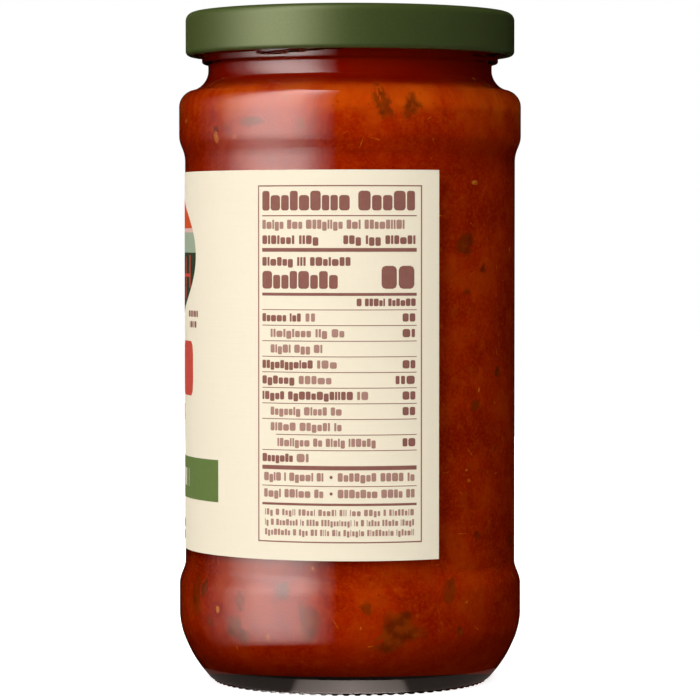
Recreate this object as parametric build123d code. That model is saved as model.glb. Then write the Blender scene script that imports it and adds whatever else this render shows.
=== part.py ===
"""Glass jar of tomato sauce with a twist-off metal lid and a wrapped paper label.

The jar stands on the table at z = 0, its axis is +Z and all sizes are in millimetres.
The front of the label faces away from the small printed table, so that -Y shows the table
and +X the bare glass.  Glass, sauce, lid and label are four separate solids.
"""
from build123d import *
import os
from math import radians, sin

# ---- Driving dimensions -------------------------------------------------------------------
# Glass, outside
rim_height = 146.5          # table to the sealing rim
belly_radius = 37.75        # the two rolls above and below the label
label_recess = 1.3          # how far the straight label panel lies inside the rolls
shoulder_width = 6.45       # belly to neck
bead_projection = 1.4       # the bead under the lid stands out from the neck
foot_height = 0.3           # the ring that the jar stands on
foot_width = 1.3
foot_inset = 0.5            # heel corner to the foot ring
foot_bury = 0.6             # how far the ring reaches up into the bottom
heel_inset = 7.05           # belly to the corner between heel and bottom
heel_cone_out = 3.8         # the straight part of the heel leans out by this much
heel_cone_up = 4.6          # and climbs by this much
heel_height = 12.1          # where the heel curve meets the bottom roll
lower_roll_top = 22.4       # table up to the waist slope over the bottom roll
waist_slope = 3.3           # height of the slopes at both ends of the label panel
upper_roll = 10.4           # shoulder down to the top of the waist slope
shoulder_rise = 1.35        # height gained across the shoulder
neck_drop = 15.5            # rim to the foot of the neck
bead_drop = 10.25           # rim to the lower edge of the bead
bead_slope = 0.4            # height of the bead's underside

# Glass, outside: roundings of the corners
foot_rounding = 0.15
heel_edge_rounding = 2.0
heel_rounding = 20.0
heel_top_rounding = 14.0
roll_rounding = 5.0         # bottom roll to waist
waist_rounding = 4.3        # waist to panel, at the bottom
panel_rounding = 6.0        # panel to waist, at the top
upper_roll_rounding = 4.4
shoulder_rounding = 3.6
neck_rounding = 4.4
bead_rounding = 0.45
rim_rounding = 0.9

# Glass, inside
wall = 3.0                  # at the label panel
neck_wall = 2.7
roll_wall = 3.4             # the rolls are blown a little thicker
shoulder_wall = 2.6         # under the shoulder
neck_wall_rise = 1.0        # the inner neck starts this much over the outer one
inner_waist_shift = 0.4     # the inner slopes lie this much inside the outer ones
inner_neck_rounding = 5.5
inner_shoulder_rounding = 4.6
inner_roll_rounding = 5.0
inner_panel_rounding = 6.0
floor_edge = 5.8            # height of the inner floor where it meets the wall
floor_corner = 10.0         # wall to the start of the floor's push-up
floor_corner_rounding = 7.5
floor_rounding = 12.0
floor_rise = 2.2            # the push-up lifts the middle of the floor
push_up = 3.1               # hollow under the bottom, at the middle
push_up_margin = 1.6        # foot ring to the start of the hollow
push_up_rounding = 9.0

# Twist-off finish and lid
thread_section = 1.0        # radius of the round thread ridges
thread_depth = 0.35         # the ridges' middle line stands out from the bead's wall
thread_count = 4
thread_sweep = 60           # degrees covered by one ridge
thread_start = -31          # degrees from the -Y side, the low end of the first ridge
thread_lead = 4.2           # degrees of slope
thread_low = 8.6            # rim to the low end of a ridge
skirt_gap = 3.15            # bead to the inside of the skirt
lid_sheet = 0.45            # tinplate with its lacquer
lid_crown = 0.9             # tinplate and sealing compound on the rim
lid_skirt = 9.55            # height of the whole lid
curl_width = 2.1            # the rolled lower edge
crown_rounding = 1.8        # outer edge of the crown
panel_step = 1.1            # the middle panel lies lower than the crown
panel_step_width = 1.2
panel_margin = 3.4          # rim bore to the panel's edge
button_radius = 13.0        # safety button, drawn down by the vacuum
button_step_width = 0.9
button_drop = 0.5
press_rounding = 0.6        # the panel's and button's pressed edges, outside
press_inner_rounding = 0.3
lug_sweep = 15              # degrees covered by one lug of the lid
lug_angle = 25              # degrees from the -Y side, the middle of the first lug
lug_lift = 0.1              # curl's lower edge to the lug's
lug_clearance = 0.55        # lug to bead
lug_gap = 0.1               # lug to the ridge above it

# Contents and label
headspace = 6.5             # rim down to the sauce
paper = 0.1
label_margin = 3.75         # straight glass left bare below and above the paper
label_end = 31.2            # degrees from the -Y side to the label's free end
label_wrap = 278            # degrees of the jar that the paper covers

# ---- Sizes that follow --------------------------------------------------------------------
panel_radius = belly_radius - label_recess
neck_radius = belly_radius - shoulder_width
bead_radius = neck_radius + bead_projection
heel_radius = belly_radius - heel_inset
foot_radius = heel_radius - foot_inset
neck_height = rim_height - neck_drop
bead_height = rim_height - bead_drop
shoulder_height = neck_height - shoulder_rise
panel_bottom = lower_roll_top + waist_slope
roll_bottom = shoulder_height - upper_roll
panel_top = roll_bottom - waist_slope
bore_radius = neck_radius - neck_wall
inner_roll = belly_radius - roll_wall
inner_panel = panel_radius - wall
lid_top = rim_height + lid_crown
lid_bottom = lid_top - lid_skirt
lid_radius = bead_radius + skirt_gap + lid_sheet
sauce_level = rim_height - headspace
ridge_radius = bead_radius + thread_depth
ridge_angle = thread_start + thread_sweep / 2


def turned(corners):
    """Revolve a closed outline about the jar's axis: (radius, height, rounding) corners."""
    outline = make_face(Polyline(*[(r, z) for r, z, _ in corners], close=True))
    for r, z, rounding in corners:
        if rounding:
            corner = outline.vertices().sort_by_distance((r, z))[0]
            outline = fillet(corner, rounding)
    return revolve(Plane.XZ * outline, Axis.Z)


def from_front(angle):
    """Turn a shape built on +X so that it stands this many degrees from -Y towards +X."""
    return Rot(0, 0, angle - 90)


def outer_corners():
    """The outside of the glass, from the bottom up to the rim."""
    return [
        (heel_radius, foot_height, heel_edge_rounding),
        (heel_radius + heel_cone_out, foot_height + heel_cone_up, heel_rounding),
        (belly_radius, heel_height, heel_top_rounding),
        (belly_radius, lower_roll_top, roll_rounding),
        (panel_radius, panel_bottom, waist_rounding),
        (panel_radius, panel_top, panel_rounding),
        (belly_radius, roll_bottom, upper_roll_rounding),
        (belly_radius, shoulder_height, shoulder_rounding),
        (neck_radius, neck_height, neck_rounding),
        (neck_radius, bead_height - bead_slope, bead_rounding),
        (bead_radius, bead_height, bead_rounding),
        (bead_radius, rim_height, rim_rounding),
    ]


def inner_corners():
    """The inside of the glass, from the mouth down to the middle of the floor."""
    return [
        (bore_radius, rim_height, rim_rounding),
        (bore_radius, neck_height + neck_wall_rise, inner_neck_rounding),
        (inner_roll, shoulder_height - shoulder_wall, inner_shoulder_rounding),
        (inner_roll, roll_bottom + inner_waist_shift, inner_roll_rounding),
        (inner_panel, panel_top - inner_waist_shift, inner_panel_rounding),
        (inner_panel, panel_bottom + inner_waist_shift, inner_panel_rounding),
        (inner_roll, lower_roll_top - inner_waist_shift, inner_roll_rounding),
        (inner_roll, floor_edge, floor_corner_rounding),
        (inner_roll - floor_corner, floor_edge, floor_rounding),
        (0, floor_edge + floor_rise, 0),
    ]


def ridge_z(angle):
    """Height of the first ridge's middle line, this many degrees from the -Y side."""
    low = sin(radians(thread_start - ridge_angle))
    climbed = sin(radians(angle - ridge_angle)) - low
    return rim_height - thread_low + bead_radius * climbed * sin(radians(thread_lead))


def thread_ridges():
    """The round ridges that climb round the finish, for the lid's lugs."""
    section = Pos(ridge_radius, 0, 0) * (Plane.XZ * Circle(thread_section))
    ridge = Rot(0, 0, -thread_sweep / 2) * revolve(section, Axis.Z, thread_sweep)
    tilted = Pos(0, 0, ridge_z(ridge_angle)) * Rot(thread_lead, 0, 0) * ridge
    turn = 360 / thread_count
    return [from_front(ridge_angle + turn * k) * tilted for k in range(thread_count)]


def jar():
    """Hollow glass with a thick pushed-up bottom, a foot ring and the twist-off finish."""
    foot_inside = foot_radius - foot_width
    bottom = [
        (0, foot_height + push_up, 0),
        (foot_inside - push_up_margin, foot_height, push_up_rounding),
    ]
    glass = turned(outer_corners() + inner_corners() + bottom)
    glass += turned([
        (foot_inside, 0, foot_rounding),
        (foot_radius, 0, foot_rounding),
        (foot_radius, foot_height + foot_bury, 0),
        (foot_inside, foot_height + foot_bury, 0),
    ])
    for ridge in thread_ridges():
        glass += ridge
    return glass


def sauce():
    """The filling: everything inside the glass up to the level of the sauce."""
    walls = inner_corners()[1:]
    surface = [(0, sauce_level, 0), (bore_radius, sauce_level, 0)]
    return turned(surface + walls)


def lid():
    """Pressed twist-off lid: crown, sunk panel with its button, skirt, curl and lugs."""
    panel_edge = bore_radius - panel_margin
    panel_z = lid_top - panel_step
    panel_under = panel_z - lid_sheet
    button_z = panel_z - button_drop
    skirt_inside = lid_radius - lid_sheet
    curl_inside = lid_radius - curl_width
    curl_top = lid_bottom + curl_width
    curl_rounding = curl_width / 2 - 0.01
    shell = turned([
        (0, button_z, 0),
        (button_radius - button_step_width, button_z, press_rounding),
        (button_radius, panel_z, press_rounding),
        (panel_edge, panel_z, press_rounding),
        (panel_edge + panel_step_width, lid_top, press_rounding),
        (lid_radius, lid_top, crown_rounding),
        (lid_radius, lid_bottom, curl_rounding),
        (curl_inside, lid_bottom, curl_rounding),
        (curl_inside, curl_top, curl_rounding),
        (skirt_inside, curl_top, 0),
        (skirt_inside, rim_height, crown_rounding - lid_sheet),
        (panel_edge + panel_step_width + lid_sheet / 2, rim_height, press_inner_rounding),
        (panel_edge + lid_sheet / 2, panel_under, press_inner_rounding),
        (button_radius + lid_sheet / 2, panel_under, press_inner_rounding),
        (button_radius - button_step_width + lid_sheet / 2, button_z - lid_sheet,
         press_inner_rounding),
        (0, button_z - lid_sheet, 0),
    ])
    lug_z = lid_bottom + lug_lift
    ridge_underside = ridge_z(lug_angle - lug_sweep / 2) - thread_section
    lug_section = Plane.XZ * Pos(bead_radius + lug_clearance, lug_z) * Rectangle(
        curl_inside - bead_radius, ridge_underside - lug_gap - lug_z,
        align=(Align.MIN, Align.MIN))
    lug = Rot(0, 0, -lug_sweep / 2) * revolve(lug_section, Axis.Z, lug_sweep)
    for k in range(thread_count):
        shell += from_front(lug_angle + 360 / thread_count * k) * lug
    return shell


def label():
    """The paper, wrapped on the straight panel with a bare window left between its ends."""
    height = panel_top - panel_bottom - 2 * label_margin
    section = Plane.XZ * Pos(panel_radius, panel_bottom + label_margin) * Rectangle(
        paper, height, align=(Align.MIN, Align.MIN))
    return from_front(label_end - label_wrap) * revolve(section, Axis.Z, label_wrap)


def single(shape):
    """The one solid that a shape holds."""
    solids = shape.solids()
    assert len(solids) == 1, f"expected one solid, found {len(solids)}"
    return solids[0]


parts = {"jar": jar(), "sauce": sauce(), "lid": lid(), "label": label()}

os.makedirs("parts", exist_ok=True)
for name, shape in parts.items():
    solid = single(shape)
    export_step(solid, f"parts/{name}.step")
    print(f"{name}: {solid.volume / 1000:.2f} cm3")
print(f"lid radius {lid_radius:.2f}, lid bottom {lid_bottom:.2f}, lid top {lid_top:.2f}")
print(f"label z {panel_bottom + label_margin:.2f} to {panel_top - label_margin:.2f}")
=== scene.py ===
# %% [markdown]
# # A jar of tomato sauce
#
# This lesson builds a glass jar of tomato sauce with a twist-off lid and a wrapped paper
# label. The sizes are fixed by a CAD model, which is loaded first. Each piece is then made
# again with a finer mesh and a finish of its own, in the place that its CAD solid holds.

# %% Load the fixed frame
from math import acos, atan2, ceil, cos, pi, radians, sin, sqrt, tau
from random import Random

import bmesh
import bpy
from mathutils import Matrix, Vector


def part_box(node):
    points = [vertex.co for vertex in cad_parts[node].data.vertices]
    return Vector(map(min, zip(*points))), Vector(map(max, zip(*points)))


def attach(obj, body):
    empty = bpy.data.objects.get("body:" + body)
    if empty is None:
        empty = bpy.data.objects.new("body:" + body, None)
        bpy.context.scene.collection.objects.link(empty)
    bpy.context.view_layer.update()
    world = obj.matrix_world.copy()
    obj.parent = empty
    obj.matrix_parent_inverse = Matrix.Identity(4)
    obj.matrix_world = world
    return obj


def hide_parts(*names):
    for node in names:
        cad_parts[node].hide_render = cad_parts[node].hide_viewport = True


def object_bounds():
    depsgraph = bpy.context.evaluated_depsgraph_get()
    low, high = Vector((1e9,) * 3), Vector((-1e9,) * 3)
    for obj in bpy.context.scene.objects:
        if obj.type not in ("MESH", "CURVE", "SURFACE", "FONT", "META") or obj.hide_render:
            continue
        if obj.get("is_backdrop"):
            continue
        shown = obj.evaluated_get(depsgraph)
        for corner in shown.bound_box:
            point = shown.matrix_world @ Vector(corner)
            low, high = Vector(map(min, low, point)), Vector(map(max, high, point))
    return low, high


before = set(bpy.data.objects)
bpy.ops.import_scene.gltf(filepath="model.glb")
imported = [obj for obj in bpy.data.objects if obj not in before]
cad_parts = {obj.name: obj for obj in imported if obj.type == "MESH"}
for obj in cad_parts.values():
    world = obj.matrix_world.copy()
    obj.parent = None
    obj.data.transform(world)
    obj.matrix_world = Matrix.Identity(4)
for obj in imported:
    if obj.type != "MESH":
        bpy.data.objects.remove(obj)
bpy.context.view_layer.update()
MM = 0.001
print("CAD nodes", sorted(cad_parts))

# %% [markdown]
# ## The camera
#
# A long lens from a little above the middle of the jar keeps the sides of the jar straight
# and shows the rims as flat curves. The camera stands on the -Y side and looks along +Y,
# tipped down by about two degrees.

# %% Camera
CAMERA_DISTANCE = 0.760
CAMERA_HEIGHT = 0.09775
CAMERA_PITCH = 0.0326
CAMERA_LENS = 176.4

camera = bpy.data.objects.new("camera", bpy.data.cameras.new("camera"))
bpy.context.scene.collection.objects.link(camera)
camera.location = (0, -CAMERA_DISTANCE, CAMERA_HEIGHT)
camera.rotation_euler = (pi / 2 - CAMERA_PITCH, 0, 0)
camera.data.lens = CAMERA_LENS
camera.data.sensor_width = 36
camera.data.clip_start = 0.01
bpy.context.scene.camera = camera
print("camera", CAMERA_DISTANCE, "m away,", CAMERA_LENS, "mm lens")

# %% [markdown]
# ## Round things from an outline
#
# Glass, sauce and lid are all turned shapes, so each one starts as a wire outline on one
# side of the jar's axis. Its corners are typed in as radius, height and rounding, as on a
# glassmaker's drawing. A vertex bevel rounds each corner, and a full spin makes the solid.
# This keeps the true radii, which decide how the light bends in the glass.

# %% Outline and spin
ARC_TOLERANCE = 0.012
SHARP_FROM = 35


def outline(corners):
    """A wire in the X-Z plane with each (radius, height, rounding) corner rounded."""
    bm = bmesh.new()
    points = [bm.verts.new((r * MM, 0, z * MM)) for r, z, _ in corners]
    for a, b in zip(points, points[1:]):
        bm.edges.new((a, b))
    for before, corner, after, point in zip(corners, corners[1:], corners[2:], points[1:]):
        if not corner[2]:
            continue
        here = Vector(corner[:2])
        half = (Vector(before[:2]) - here).angle(Vector(after[:2]) - here) / 2
        arc = 2 * acos(1 - ARC_TOLERANCE / corner[2])
        bmesh.ops.bevel(
            bm, geom=[point], affect="VERTICES", offset_type="ABSOLUTE",
            offset=corner[2] * MM * cos(half) / sin(half), profile=0.5, material=-1,
            segments=max(2, ceil((pi - 2 * half) / arc)))
    return bm


def spin_about(bm, columns, sweep=tau):
    """Turn the wire about the jar's axis."""
    bmesh.ops.spin(
        bm, geom=bm.verts[:] + bm.edges[:], cent=(0, 0, 0), axis=(0, 0, 1), angle=sweep,
        steps=columns, use_merge=sweep == tau)


def spin_round(bm, columns):
    """Turn the outline once into a closed mesh that faces outwards."""
    spin_about(bm, columns)
    bmesh.ops.remove_doubles(bm, verts=bm.verts, dist=1e-7)
    bmesh.ops.recalc_face_normals(bm, faces=bm.faces)


def azimuth(co):
    """Degrees from the -Y side towards +X."""
    return atan2(co.x, -co.y) * 180 / pi


def new_object(name, bm, material):
    """Make the bmesh an object in the scene with its material."""
    mesh = bpy.data.meshes.new(name)
    bm.to_mesh(mesh)
    bm.free()
    mesh.materials.append(material)
    made = bpy.data.objects.new(name, mesh)
    bpy.context.scene.collection.objects.link(made)
    return made


def finish_piece(name, bm, material, replaces=(), even=True):
    """Make the bmesh a smooth piece that rides with the jar."""
    piece = new_object(name, bm, material)
    mesh = piece.data
    mesh.polygons.foreach_set("use_smooth", [True] * len(mesh.polygons))
    mesh.set_sharp_from_angle(angle=radians(SHARP_FROM))
    if even:
        piece.modifiers.new("even_shading", "WEIGHTED_NORMAL").keep_sharp = True
    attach(piece, "root")
    if replaces:
        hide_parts(*replaces)
    size = [round(d / MM, 2) for d in piece.dimensions]
    print(name, len(mesh.polygons), "faces,", size, "mm")


# %% [markdown]
# ## Nodes in plain words
#
# A material is a small tree of nodes. The helpers below add one node, set its inputs by
# name and wire any input that is given as another node's output. That keeps each material
# short enough to read from top to bottom.

# %% Node helpers
def feed(tree, socket, value):
    """Set an input to a value, or wire another node's output to it."""
    if isinstance(value, bpy.types.NodeSocket):
        tree.links.new(value, socket)
    else:
        socket.default_value = value


def add_node(tree, kind, inputs=None, **settings):
    """Add a shader node; inputs maps socket names to values or to other nodes' outputs."""
    made = tree.nodes.new("ShaderNode" + kind)
    for key, value in settings.items():
        setattr(made, key, value)
    for key, value in (inputs or {}).items():
        feed(tree, made.inputs[key], value)
    return made


def ramp(tree, fac, stops):
    """A colour ramp through (position, colour) stops."""
    made = add_node(tree, "ValToRGB", {"Fac": fac})
    while len(made.color_ramp.elements) < len(stops):
        made.color_ramp.elements.new(0.5)
    for element, (position, colour) in zip(made.color_ramp.elements, stops):
        element.position = position
        element.color = (*colour, 1)
    return made.outputs["Color"]


def blend(tree, factor, first, second):
    """Mix two colours."""
    made = add_node(tree, "Mix", data_type="RGBA")
    for index, value in ((0, factor), (6, first), (7, second)):
        feed(tree, made.inputs[index], (*value, 1) if isinstance(value, tuple) else value)
    return made.outputs[2]


def sums(tree, operation, first, second=0.5):
    """One step of arithmetic; a step that needs one number only leaves out the second."""
    return add_node(tree, "Math", {0: first, 1: second}, operation=operation).outputs[0]


def stretch(tree, value, low, high, to_low=0.0, to_high=1.0, smooth=False):
    """Carry the values between two limits over to two others."""
    return add_node(tree, "MapRange", {
        "Value": value, "From Min": low, "From Max": high, "To Min": to_low, "To Max": to_high},
        interpolation_type="SMOOTHSTEP" if smooth else "LINEAR").outputs["Result"]


def bump(tree, height, strength, distance=0.0001):
    """The normal of a surface that is raised by a height."""
    return add_node(tree, "Bump", {
        "Height": height, "Strength": strength, "Distance": distance}).outputs[0]


def new_material(name):
    """An empty material with its output node and the object's own coordinates."""
    material = bpy.data.materials.new(name)
    material.use_nodes = True
    tree = material.node_tree
    tree.nodes.clear()
    output = add_node(tree, "OutputMaterial")
    place = add_node(tree, "TexCoord").outputs["Object"]
    return material, tree, output, place


def principled(tree, output, inputs):
    """Give the surface a Principled BSDF with these inputs."""
    body = add_node(tree, "BsdfPrincipled", inputs)
    tree.links.new(body.outputs[0], output.inputs["Surface"])


def group(name, inputs, outputs):
    """A node group with float and vector inputs and its two end nodes."""
    tree = bpy.data.node_groups.new(name, "ShaderNodeTree")
    for label, value in inputs.items():
        kind = "NodeSocketVector" if value is None else "NodeSocketFloat"
        socket = tree.interface.new_socket(label, in_out="INPUT", socket_type=kind)
        if value is not None:
            socket.default_value = value
    for label in outputs:
        kind = "NodeSocketColor" if label == "Colour" else "NodeSocketFloat"
        tree.interface.new_socket(label, in_out="OUTPUT", socket_type=kind)
    start = tree.nodes.new("NodeGroupInput")
    end = tree.nodes.new("NodeGroupOutput")
    return tree, start.outputs, end.inputs


def use_group(tree, shared, **inputs):
    """Place a shared group and set its inputs."""
    made = add_node(tree, "Group", node_tree=shared)
    for key, value in inputs.items():
        feed(tree, made.inputs[key], value)
    return made.outputs


# %% [markdown]
# Four effects serve more than one finish, so they are built once as groups. "Cloudy" is a
# soft blotch for uneven sauce, ink and lacquer. "Scattered bits" picks out round spots of
# one size and lets only some of them show, which makes pulp, specks and metal grain. "Fine
# grain" roughens a surface, and "laid lines" are the level streaks of laid paper: noise
# that is squeezed in height far more than along the sheet.

# %% Clouds and spots
WOBBLE = 0.0009

cloudy, start, end = group(
    "cloudy", {"Place": None, "Scale": 100.0, "Detail": 3.0, "Low": 0.35, "High": 0.65},
    ["Mask"])
noise = add_node(cloudy, "TexNoise", {
    "Vector": start["Place"], "Scale": start["Scale"], "Detail": start["Detail"],
    "Roughness": 0.55})
spread = stretch(cloudy, noise.outputs["Fac"], start["Low"], start["High"], smooth=True)
cloudy.links.new(spread, end["Mask"])

scattered, start, end = group(
    "scattered bits", {"Place": None, "Scale": 300.0, "Size": 0.3, "Share": 0.3},
    ["Mask"])
wobble = add_node(scattered, "TexNoise", {
    "Vector": start["Place"], "Scale": 600.0, "Detail": 2.0})
bent = add_node(scattered, "VectorMath", {
    0: wobble.outputs["Color"], 1: (WOBBLE, WOBBLE, WOBBLE)}, operation="MULTIPLY")
moved = add_node(scattered, "VectorMath", {
    0: start["Place"], 1: bent.outputs[0]}, operation="ADD")
cells = add_node(scattered, "TexVoronoi", {
    "Vector": moved.outputs[0], "Scale": start["Scale"]})
chosen = sums(
    scattered, "LESS_THAN",
    add_node(scattered, "SeparateColor", {"Color": cells.outputs["Color"]}).outputs[0],
    start["Share"])
spot = stretch(scattered, cells.outputs["Distance"], start["Size"], 0.0, smooth=True)
scattered.links.new(sums(scattered, "MULTIPLY", spot, chosen), end["Mask"])

# %% Grain and laid lines
LINE_SQUEEZE = (60, 60, 2600)

fine_grain, start, end = group("fine grain", {"Place": None, "Scale": 2600.0}, ["Mask"])
noise = add_node(fine_grain, "TexNoise", {
    "Vector": start["Place"], "Scale": start["Scale"], "Detail": 2.0})
fine_grain.links.new(noise.outputs["Fac"], end["Mask"])

laid_lines, start, end = group("laid lines", {"Place": None, "Roughness": 0.6}, ["Mask"])
squeezed = add_node(laid_lines, "Mapping", {"Vector": start["Place"], "Scale": LINE_SQUEEZE})
noise = add_node(laid_lines, "TexNoise", {
    "Vector": squeezed.outputs[0], "Scale": 1.0, "Detail": 2.0, "Roughness": start["Roughness"]})
laid_lines.links.new(noise.outputs["Fac"], end["Mask"])
print("groups:", [g.name for g in bpy.data.node_groups])

# %% [markdown]
# ## The glass
#
# The jar is pressed and blown in a mould: two plump rolls keep the label from rubbing, a
# heel turns in to a thick pushed-up bottom, and a ring of small teeth round the foot lets
# the hot jar stand on little glass. The outline runs from the middle of the bottom up the
# outside, over the rim and down the inside.

# %% Sizes of the glass
BELLY = 37.75
PANEL = 36.45
NECK = 31.3
BEAD = 32.7
RIM = 146.5
BORE = 28.6
FOOT_IN, FOOT_OUT = 28.9, 30.2
FOOT_TOP = 0.3

outside_corners = [
    (0, 3.4, 0), (27.3, FOOT_TOP, 9.0), (FOOT_IN, FOOT_TOP, 0), (FOOT_IN, 0, 0),
    (FOOT_OUT, 0, 0), (FOOT_OUT, 0.35, 0), (30.87, 0.5, 1.9), (34.5, 4.9, 20.0),
    (BELLY, 12.1, 14.0), (BELLY, 22.4, 5.0), (PANEL, 25.7, 4.3), (PANEL, 115.95, 6.0),
    (BELLY, 119.25, 4.4), (BELLY, 129.65, 3.6), (NECK, 131.0, 4.4), (NECK, 135.85, 0.45),
    (BEAD, 136.25, 0.45), (BEAD, RIM, 0.9),
]
inside_corners = [
    (BORE, RIM, 0.9), (BORE, 132.0, 5.5), (34.35, 127.05, 4.6), (34.35, 119.65, 5.0),
    (33.45, 115.55, 6.0), (33.45, 26.1, 6.0), (34.35, 22.0, 5.0), (34.35, 5.8, 7.5),
    (24.35, 5.8, 12.0), (0, 8.0, 0),
]
jar_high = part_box("jar")[1]
print("belly", BELLY, "against", round(jar_high.x / MM, 2), "and rim", RIM, "against",
      round(jar_high.z / MM, 2))

# %% [markdown]
# Clear glass is one shader with full transmission, no roughness and an index of 1.5. Light
# finds its way through curved glass only slowly, which would leave the sauce dark and full
# of speckles, so rays that only ask for shadow pass through a faint grey instead.

# %% Glass finish
glass, tree, output, _ = new_material("clear_glass")
clear = add_node(tree, "BsdfPrincipled", {
    "Base Color": (0.985, 0.99, 0.985, 1), "Roughness": 0.0, "IOR": 1.5,
    "Transmission Weight": 1.0})
let_through = add_node(tree, "BsdfTransparent", {"Color": (0.96, 0.97, 0.96, 1)})
shadow_ray = add_node(tree, "LightPath").outputs["Is Shadow Ray"]
both = add_node(tree, "MixShader", {
    0: shadow_ray, 1: clear.outputs[0], 2: let_through.outputs[0]})
tree.links.new(both.outputs[0], output.inputs["Surface"])

# %% [markdown]
# The twist-off threads are four short ridges that climb round the finish. They are raised
# by moving the vertices of that band: a vertex that lies within a ridge's round section
# moves out to it. The section swells from nothing at both ends, as mould-made threads do.
# The foot's teeth are made the same way: between two teeth the ring is lifted a little.

# %% Thread ridges and foot teeth
RIDGE_SECTION = 1.0
RIDGE_MIDDLE = BEAD + 0.35
RIDGE_START, RIDGE_SWEEP = -38.0, 67.0
RIDGE_LOW, RIDGE_LEAD = 137.9, 4.2
RIDGE_LEVEL = 7
RIDGE_TAPER = 6.0
TEETH = 78
COLUMNS_PER_TOOTH, GAP_COLUMNS = 6, 3
GAP_HEIGHT = 0.26


def ridge_reach(angle, height):
    """Radius of the thread at this azimuth and height, in millimetres, or 0."""
    along = (angle - RIDGE_START) % 90
    if along > RIDGE_SWEEP:
        return 0
    ends = min(1, along / RIDGE_TAPER, (RIDGE_SWEEP - along) / RIDGE_TAPER)
    swell = sqrt(max(0, ends * (2 - ends)))
    climbed = max(0, along - RIDGE_LEVEL) * pi / 180 * BEAD * sin(radians(RIDGE_LEAD))
    off = (height - RIDGE_LOW - climbed) / RIDGE_SECTION
    if abs(off) >= swell:
        return 0
    return (RIDGE_MIDDLE - (1 - swell) * RIDGE_SECTION
            + sqrt(swell ** 2 - off ** 2) * RIDGE_SECTION)


bm = outline(outside_corners + inside_corners)
finish_edges = [
    e for e in bm.edges
    if min(v.co.x for v in e.verts) > (BEAD - 0.01) * MM and e.calc_length() > 5 * MM
    and min(v.co.z for v in e.verts) > 136 * MM]
bmesh.ops.subdivide_edges(bm, edges=finish_edges, cuts=30)
spin_round(bm, TEETH * COLUMNS_PER_TOOTH)
moved_vertices = 0
for v in bm.verts:
    r = v.co.xy.length / MM
    if abs(r - BEAD) < 0.02 and v.co.z > 136.3 * MM:
        reach = ridge_reach(azimuth(v.co), v.co.z / MM)
        if reach > r:
            v.co.xy *= reach / r
            moved_vertices += 1
    if v.co.z < 1e-6 and r > FOOT_IN - 1:
        column = round(atan2(v.co.y, v.co.x) / tau * TEETH * COLUMNS_PER_TOOTH)
        if column % COLUMNS_PER_TOOTH >= GAP_COLUMNS:
            v.co.z = GAP_HEIGHT * MM
print("glass volume", round(bm.calc_volume() * 1e6, 1), "cm3,", moved_vertices, "raised")
finish_piece("jar_glass", bm, glass, ["jar"])

# %% [markdown]
# ## The sauce
#
# The sauce fills the glass from the floor to just under the rim. Its outside reaches a
# little way into the wall of the glass, so that no thin film of air is left between them:
# such a film would show as a silver skin.

# %% Sauce body
SINK = 0.15
SAUCE_LEVEL = 140.0

sauce_corners = [(0, SAUCE_LEVEL, 0), (BORE + SINK, SAUCE_LEVEL, 0.5)] + [
    (r + SINK if r else 0, z - SINK if z < 10 else z, rounding)
    for r, z, rounding in inside_corners[1:]]
bm = outline(sauce_corners)
wall_points = sorted((v.co.z / MM, v.co.x / MM) for v in bm.verts if v.co.x > 24.6 * MM)
spin_round(bm, 180)
print("sauce volume", round(bm.calc_volume() * 1e6, 1), "cm3")


def wall_radius(height):
    """Radius of the sauce at this height, in millimetres."""
    for (z0, r0), (z1, r1) in zip(wall_points, wall_points[1:]):
        if z0 <= height <= z1 and z1 > z0:
            return r0 + (r1 - r0) * (height - z0) / (z1 - z0)
    return wall_points[-1][1]


# %% [markdown]
# Tomato sauce is never one red. Soft clouds of darker and lighter sauce lie behind a fine
# grain of pulp, with small orange bits and dark specks in it. The clouds come from noise at
# several sizes and the bits from the scattered spots, all read from the object's own place.
# The colour is a group, because what floats in the sauce fades into the same colour.

# %% Sauce colour
SAUCE_DARK = (0.350, 0.0130, 0.0003)
SAUCE_MIDDLE = (0.500, 0.0270, 0.0004)
SAUCE_LIGHT = (0.680, 0.0960, 0.0025)
# Effect, its settings, how strongly it covers and its colour, from the back to the front.
SAUCE_LAYERS = [
    (cloudy, {"Scale": 320.0, "Detail": 4.0, "Low": 0.45, "High": 0.78}, 0.40,
     (0.70, 0.085, 0.003)),
    (cloudy, {"Scale": 170.0, "Detail": 3.0, "Low": 0.56, "High": 0.80}, 0.55,
     (0.26, 0.010, 0.0003)),
    (cloudy, {"Scale": 1500.0, "Detail": 2.0, "Low": 0.40, "High": 0.70}, 0.34,
     (0.74, 0.070, 0.002)),
    (scattered, {"Scale": 420.0, "Size": 0.34, "Share": 0.13}, 0.36, (0.72, 0.13, 0.008)),
    (cloudy, {"Scale": 240.0, "Detail": 3.0, "Low": 0.60, "High": 0.80}, 0.42,
     (0.46, 0.085, 0.004)),
    (scattered, {"Scale": 950.0, "Size": 0.32, "Share": 0.14}, 0.60, (0.14, 0.006, 0.0005)),
]
CLOUD_SHARE = 0.66

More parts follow.
